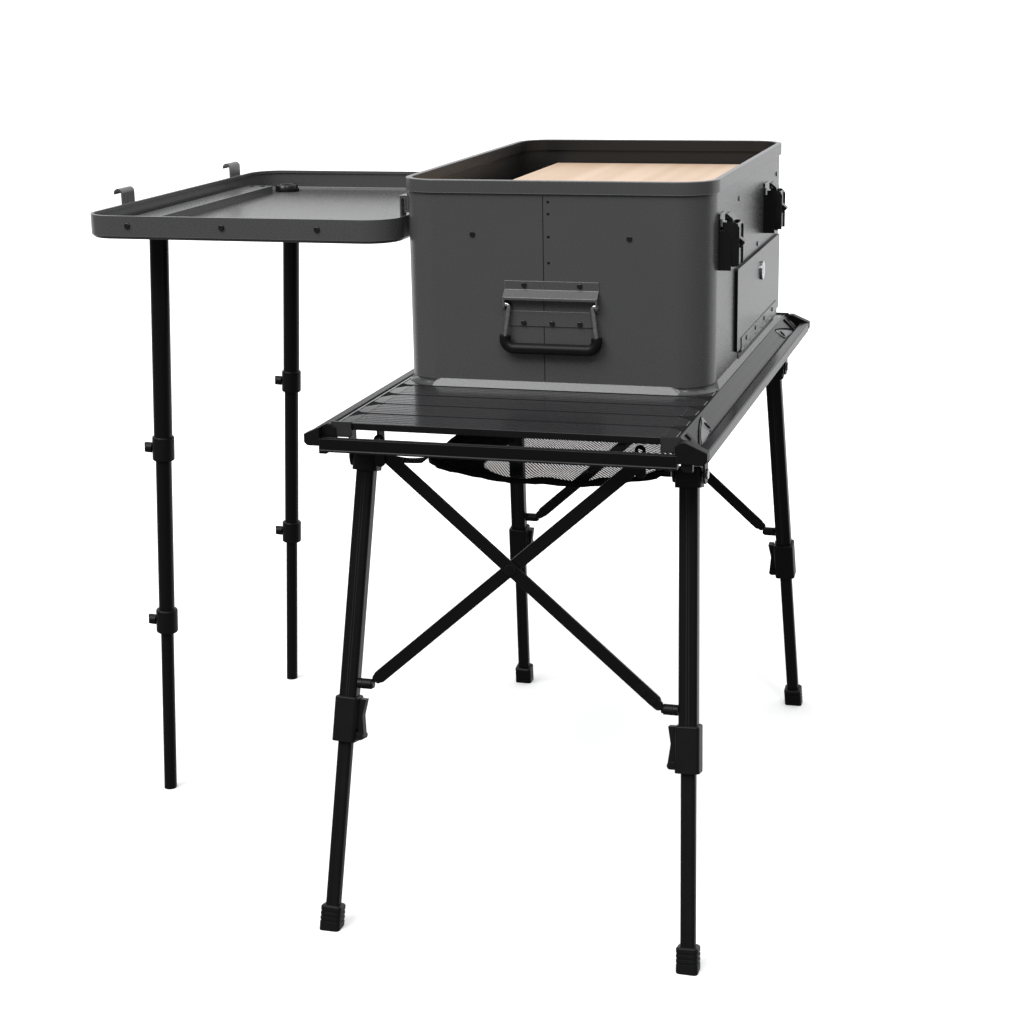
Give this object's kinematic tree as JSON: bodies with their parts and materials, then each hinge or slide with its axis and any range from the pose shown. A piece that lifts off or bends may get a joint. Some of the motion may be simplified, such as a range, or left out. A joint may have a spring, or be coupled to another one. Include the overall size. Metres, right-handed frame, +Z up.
{
  "type": "camp kitchen table",
  "caption": "Slat-top folding camp table with braced telescopic legs, an open storage box with a serving board, and its lid hung beside it as a tray on telescopic poles.",
  "frame": {"origin": "centre of the whole object's plan, on the ground", "axes": "+Z up, +Y along the deck from the near end to the far end, -X towards the side tray"},
  "size_m": [0.9054, 0.9328, 0.909],
  "materials": {
    "bamboo": "oiled, light",
    "black_plastic": "moulded, satin",
    "box_black": "fine textured powder coat",
    "bright_steel": "polished",
    "deck_aluminium": "brushed anodised, dark grey",
    "frame_black": "satin black",
    "grey_steel": "brushed",
    "net_fabric": "open diagonal mesh",
    "rail_grey": "anodised, semi-gloss"
  },
  "bodies": {
    "table": {"deck_slats": "deck_aluminium", "deck_end_caps": "black_plastic", "side_rails": "rail_grey", "outer_bars": "frame_black", "cross_bars": "frame_black", "corner_castings": "black_plastic", "rail_straps": "black_plastic", "leg_brackets": "frame_black", "net_basket": "net_fabric", "net_ties": "net_fabric"},
    "legs_near": {"upper_legs_near": "frame_black", "leg_fittings_near": "black_plastic"},
    "legs_far": {"upper_legs_far": "frame_black", "leg_fittings_far": "black_plastic"},
    "brace_near": {"brace_bars_near": "frame_black", "brace_links_near": "frame_black"},
    "brace_far": {"brace_bars_far": "frame_black", "brace_links_far": "frame_black"},
    "box": {"box_shell": "box_black", "box_rim": "box_black", "box_fasteners": "grey_steel", "handle_plates": "box_black", "door_hinge_fixed": "grey_steel", "latch_bases": "frame_black", "board_ledges": "box_black", "tray_keepers": "box_black"},
    "door": {"door_panel": "box_black", "door_hinge_leaf": "grey_steel"},
    "lock": {"door_lock": "grey_steel"},
    "board": {"serving_board": "bamboo"},
    "bail_near": {"handle_bail_near": "bright_steel"},
    "bail_far": {"handle_bail_far": "bright_steel"},
    "latch_near": {"latch_lever_near": "grey_steel"},
    "latch_far": {"latch_lever_far": "grey_steel"},
    "claw_near": {"latch_claw_near": "grey_steel"},
    "claw_far": {"latch_claw_far": "grey_steel"},
    "tray": {"tray_pan": "box_black", "tray_catches": "box_black", "tray_channel": "grey_steel", "tray_hooks": "frame_black", "tray_fasteners": "grey_steel", "pole_sockets": "grey_steel", "pole_upper_near": "frame_black", "pole_upper_far": "frame_black"},
    "lower_leg_far_right": {"lower_leg_far_right": "frame_black"},
    "lever_far_right": {"clamp_lever_far_right": "black_plastic"},
    "lower_leg_far_left": {"lower_leg_far_left": "frame_black"},
    "lever_far_left": {"clamp_lever_far_left": "black_plastic"},
    "lower_leg_near_right": {"lower_leg_near_right": "frame_black"},
    "lever_near_right": {"clamp_lever_near_right": "black_plastic"},
    "lower_leg_near_left": {"lower_leg_near_left": "frame_black"},
    "lever_near_left": {"clamp_lever_near_left": "black_plastic"},
    "pole_middle_near": {"pole_middle_near": "frame_black"},
    "pole_lower_near": {"pole_lower_near": "frame_black"},
    "pole_knob_upper_near": {"pole_knob_upper_near": "black_plastic"},
    "pole_knob_lower_near": {"pole_knob_lower_near": "black_plastic"},
    "pole_middle_far": {"pole_middle_far": "frame_black"},
    "pole_lower_far": {"pole_lower_far": "frame_black"},
    "pole_knob_upper_far": {"pole_knob_upper_far": "black_plastic"},
    "pole_knob_lower_far": {"pole_knob_lower_far": "black_plastic"}
  },
  "joints": [
    {"name": "fold_near", "type": "hinge", "parent": "table", "child": "legs_near", "pos_m": [0.2103, -0.3295, 0.583], "axis": [1, 0, 0], "range_deg": [0, 100], "deforming": ["net_basket"]},
    {"name": "fold_far", "type": "hinge", "parent": "table", "child": "legs_far", "pos_m": [0.2103, 0.3295, 0.583], "axis": [-1, 0, 0], "range_deg": [0, 92], "deforming": ["net_basket"]},
    {"name": "brace_near", "type": "hinge", "parent": "legs_near", "child": "brace_near", "pos_m": [0.2103, -0.392, 0.307], "axis": [-1, 0, 0], "range_deg": [0, 10]},
    {"name": "brace_far", "type": "hinge", "parent": "legs_far", "child": "brace_far", "pos_m": [0.2103, 0.392, 0.307], "axis": [1, 0, 0], "range_deg": [0, 9.2]},
    {"name": "leg_slide_far_right", "type": "slide", "parent": "legs_far", "child": "lower_leg_far_right", "axis": [-0.0436, -0.2086, 0.977], "range_m": [0, 0.195]},
    {"name": "lever_far_right", "type": "hinge", "parent": "legs_far", "child": "lever_far_right", "pos_m": [0.40703, 0.40232, 0.24111], "axis": [0.0093, -0.978, -0.2084], "range_deg": [0, 100]},
    {"name": "leg_slide_far_left", "type": "slide", "parent": "legs_far", "child": "lower_leg_far_left", "axis": [0.0436, -0.2086, 0.977], "range_m": [0, 0.195]},
    {"name": "lever_far_left", "type": "hinge", "parent": "legs_far", "child": "lever_far_left", "pos_m": [0.01357, 0.40232, 0.24111], "axis": [0.0093, 0.978, 0.2084], "range_deg": [0, 100]},
    {"name": "leg_slide_near_right", "type": "slide", "parent": "legs_near", "child": "lower_leg_near_right", "axis": [-0.0436, 0.2086, 0.977], "range_m": [0, 0.195]},
    {"name": "lever_near_right", "type": "hinge", "parent": "legs_near", "child": "lever_near_right", "pos_m": [0.40703, -0.40232, 0.24111], "axis": [-0.0093, -0.978, 0.2084], "range_deg": [0, 100]},
    {"name": "leg_slide_near_left", "type": "slide", "parent": "legs_near", "child": "lower_leg_near_left", "axis": [0.0436, 0.2086, 0.977], "range_m": [0, 0.195]},
    {"name": "lever_near_left", "type": "hinge", "parent": "legs_near", "child": "lever_near_left", "pos_m": [0.01357, -0.40232, 0.24111], "axis": [-0.0093, 0.978, -0.2084], "range_deg": [0, 100]},
    {"name": "box_lift", "type": "slide", "parent": "table", "child": "box", "axis": [0, 0, 1], "range_m": [0, 0.3]},
    {"name": "tray_lift", "type": "slide", "parent": "box", "child": "tray", "axis": [0, 0, 1], "range_m": [0, 0.06]},
    {"name": "board_lift", "type": "slide", "parent": "box", "child": "board", "axis": [0, 0, 1], "range_m": [0, 0.12]},
    {"name": "door_hinge", "type": "hinge", "parent": "box", "child": "door", "pos_m": [0.4133, -0.012, 0.6645], "axis": [0, 1, 0], "range_deg": [0, 110]},
    {"name": "lock_turn", "type": "hinge", "parent": "door", "child": "lock", "pos_m": [0.4103, 0.186, 0.748], "axis": [1, 0, 0], "range_deg": [0, 90]},
    {"name": "bail_near", "type": "hinge", "parent": "box", "child": "bail_near", "pos_m": [0.2103, -0.1935, 0.7545], "axis": [-1, 0, 0], "range_deg": [0, 95]},
    {"name": "bail_far", "type": "hinge", "parent": "box", "child": "bail_far", "pos_m": [0.2103, 0.4185, 0.7545], "axis": [1, 0, 0], "range_deg": [0, 95]},
    {"name": "latch_near", "type": "hinge", "parent": "box", "child": "latch_near", "pos_m": [0.4193, -0.1205, 0.804], "axis": [0, 1, 0], "range_deg": [0, 110]},
    {"name": "claw_near", "type": "hinge", "parent": "latch_near", "child": "claw_near", "pos_m": [0.4253, -0.1205, 0.835], "axis": [0, 1, 0], "range_deg": [-8, 8]},
    {"name": "latch_far", "type": "hinge", "parent": "box", "child": "latch_far", "pos_m": [0.4193, 0.2425, 0.804], "axis": [0, 1, 0], "range_deg": [0, 110]},
    {"name": "claw_far", "type": "hinge", "parent": "latch_far", "child": "claw_far", "pos_m": [0.4253, 0.2425, 0.835], "axis": [0, 1, 0], "range_deg": [-8, 8]},
    {"name": "pole_middle_near", "type": "slide", "parent": "tray", "child": "pole_middle_near", "axis": [0.0485, 0, 0.9988], "range_m": [0, 0.21]},
    {"name": "pole_lower_near", "type": "slide", "parent": "pole_middle_near", "child": "pole_lower_near", "axis": [0.0485, 0, 0.9988], "range_m": [0, 0.21]},
    {"name": "pole_knob_upper_near", "type": "hinge", "parent": "tray", "child": "pole_knob_upper_near", "pos_m": [-0.38454, -0.1, 0.51852], "axis": [0.9988, 0, -0.0485], "range_deg": [0, 360]},
    {"name": "pole_knob_lower_near", "type": "hinge", "parent": "pole_middle_near", "child": "pole_knob_lower_near", "pos_m": [-0.39701, -0.1, 0.26152], "axis": [0.9988, 0, -0.0485], "range_deg": [0, 360]},
    {"name": "pole_middle_far", "type": "slide", "parent": "tray", "child": "pole_middle_far", "axis": [0.0485, 0, 0.9988], "range_m": [0, 0.21]},
    {"name": "pole_lower_far", "type": "slide", "parent": "pole_middle_far", "child": "pole_lower_far", "axis": [0.0485, 0, 0.9988], "range_m": [0, 0.21]},
    {"name": "pole_knob_upper_far", "type": "hinge", "parent": "tray", "child": "pole_knob_upper_far", "pos_m": [-0.38454, 0.376, 0.51852], "axis": [0.9988, 0, -0.0485], "range_deg": [0, 360]},
    {"name": "pole_knob_lower_far", "type": "hinge", "parent": "pole_middle_far", "child": "pole_knob_lower_far", "pos_m": [-0.39701, 0.376, 0.26152], "axis": [0.9988, 0, -0.0485], "range_deg": [0, 360]}
  ],
  "couplings": [
    {"joint": "brace_near", "follows": "fold_near", "ratio": 0.1},
    {"joint": "brace_far", "follows": "fold_far", "ratio": 0.1}
  ]
}
